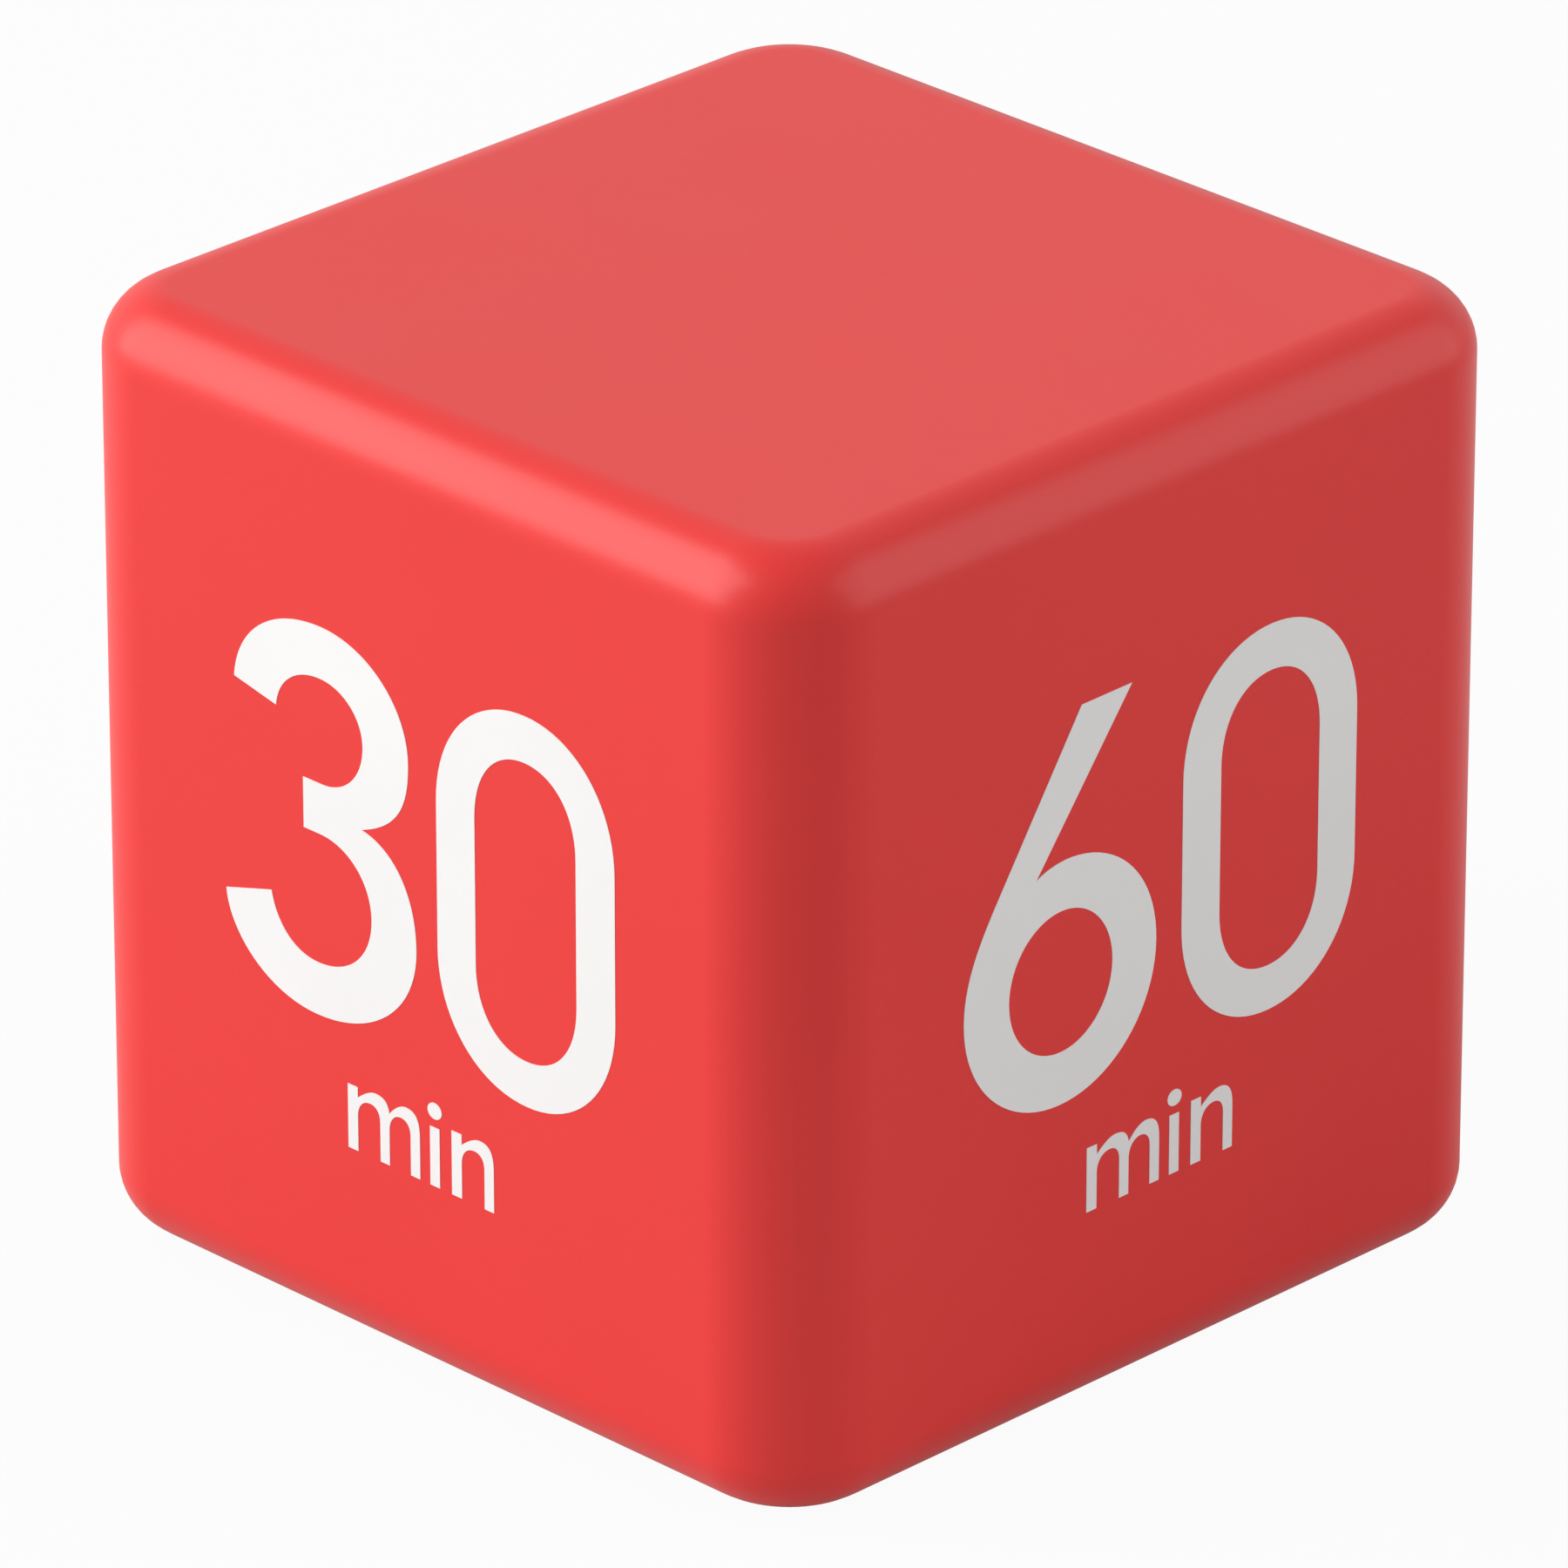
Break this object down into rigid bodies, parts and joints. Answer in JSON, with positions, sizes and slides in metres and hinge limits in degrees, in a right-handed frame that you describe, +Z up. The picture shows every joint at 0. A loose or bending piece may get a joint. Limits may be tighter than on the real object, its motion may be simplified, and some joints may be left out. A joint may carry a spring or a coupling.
{
  "type": "cube timer",
  "caption": "Hollow rounded cube timer standing on its end cover, with display window, slide switch, battery door, sound holes and tilt switches inside.",
  "frame": {"origin": "centre of the end face that the cube stands on", "axes": "+Z up through the bare end face; +X out of the side printed 60, -Y out of the side printed 30"},
  "size_m": [0.064, 0.064, 0.064],
  "materials": {
    "case_red": "satin moulded ABS with a fine matt texture",
    "print_white": "white printed ink, flat on the side faces",
    "window_clear": "clear polished acrylic",
    "display_glass": "grey-green reflective display cell",
    "holder_white": "plain white moulding",
    "strip_rubber": "layered conductive rubber",
    "board_green": "solder mask over glass-fibre laminate",
    "black_plastic": "satin black moulding",
    "chip_epoxy": "glossy black epoxy dome",
    "nickel": "nickel-plated sheet and wire",
    "steel": "zinc-plated steel",
    "brass_disc": "rolled brass with a ceramic layer",
    "cell_jacket": "printed film over a drawn can",
    "lead_red": "red insulated wire",
    "lead_black": "black insulated wire"
  },
  "bodies": {
    "case": {"body_shell": "case_red", "end_cover": "case_red", "display_window": "window_clear", "display_glass": "display_glass", "display_holder": "holder_white", "contact_strip": "strip_rubber", "circuit_board": "board_green", "chip_dome": "chip_epoxy", "crystal_can": "nickel", "buzzer_case": "black_plastic", "piezo_disc": "brass_disc", "buzzer_base": "black_plastic", "switch_can": "steel", "switch_base": "black_plastic", "cell_1": "cell_jacket", "cell_2": "cell_jacket", "positive_terminal": "nickel", "negative_terminal": "nickel", "bridge_contact": "nickel", "bridge_spring": "steel", "negative_spring": "steel", "battery_lead_red": "lead_red", "battery_lead_black": "lead_black", "tilt_can_x": "nickel", "tilt_plug_x_a": "black_plastic", "tilt_pin_x_a": "nickel", "tilt_plug_x_b": "black_plastic", "tilt_pin_x_b": "nickel", "tilt_can_y": "nickel", "tilt_plug_y_a": "black_plastic", "tilt_pin_y_a": "nickel", "tilt_plug_y_b": "black_plastic", "tilt_pin_y_b": "nickel", "case_screw_1": "steel", "case_screw_2": "steel", "case_screw_3": "steel", "case_screw_4": "steel", "board_screw_1": "steel", "board_screw_2": "steel", "board_screw_3": "steel", "board_screw_4": "steel"},
    "door": {"battery_door": "case_red"},
    "switch": {"switch_slider": "black_plastic", "switch_knob": "black_plastic"},
    "ball_x": {"tilt_ball_x": "steel"},
    "ball_y": {"tilt_ball_y": "steel"}
  },
  "joints": [
    {"name": "battery_door_swing", "type": "hinge", "parent": "case", "child": "door", "pos_m": [-0.0263, -0.0094, 0.00025], "axis": [0, 1, 0], "range_deg": [0, 80]},
    {"name": "power_switch_slide", "type": "slide", "parent": "case", "child": "switch", "axis": [0, 1, 0], "range_m": [0, 0.002]},
    {"name": "tilt_ball_x_roll", "type": "slide", "parent": "case", "child": "ball_x", "axis": [1, 0, 0], "range_m": [-0.0017, 0.0017]},
    {"name": "tilt_ball_y_roll", "type": "slide", "parent": "case", "child": "ball_y", "axis": [0, 1, 0], "range_m": [-0.0017, 0.0017]}
  ]
}
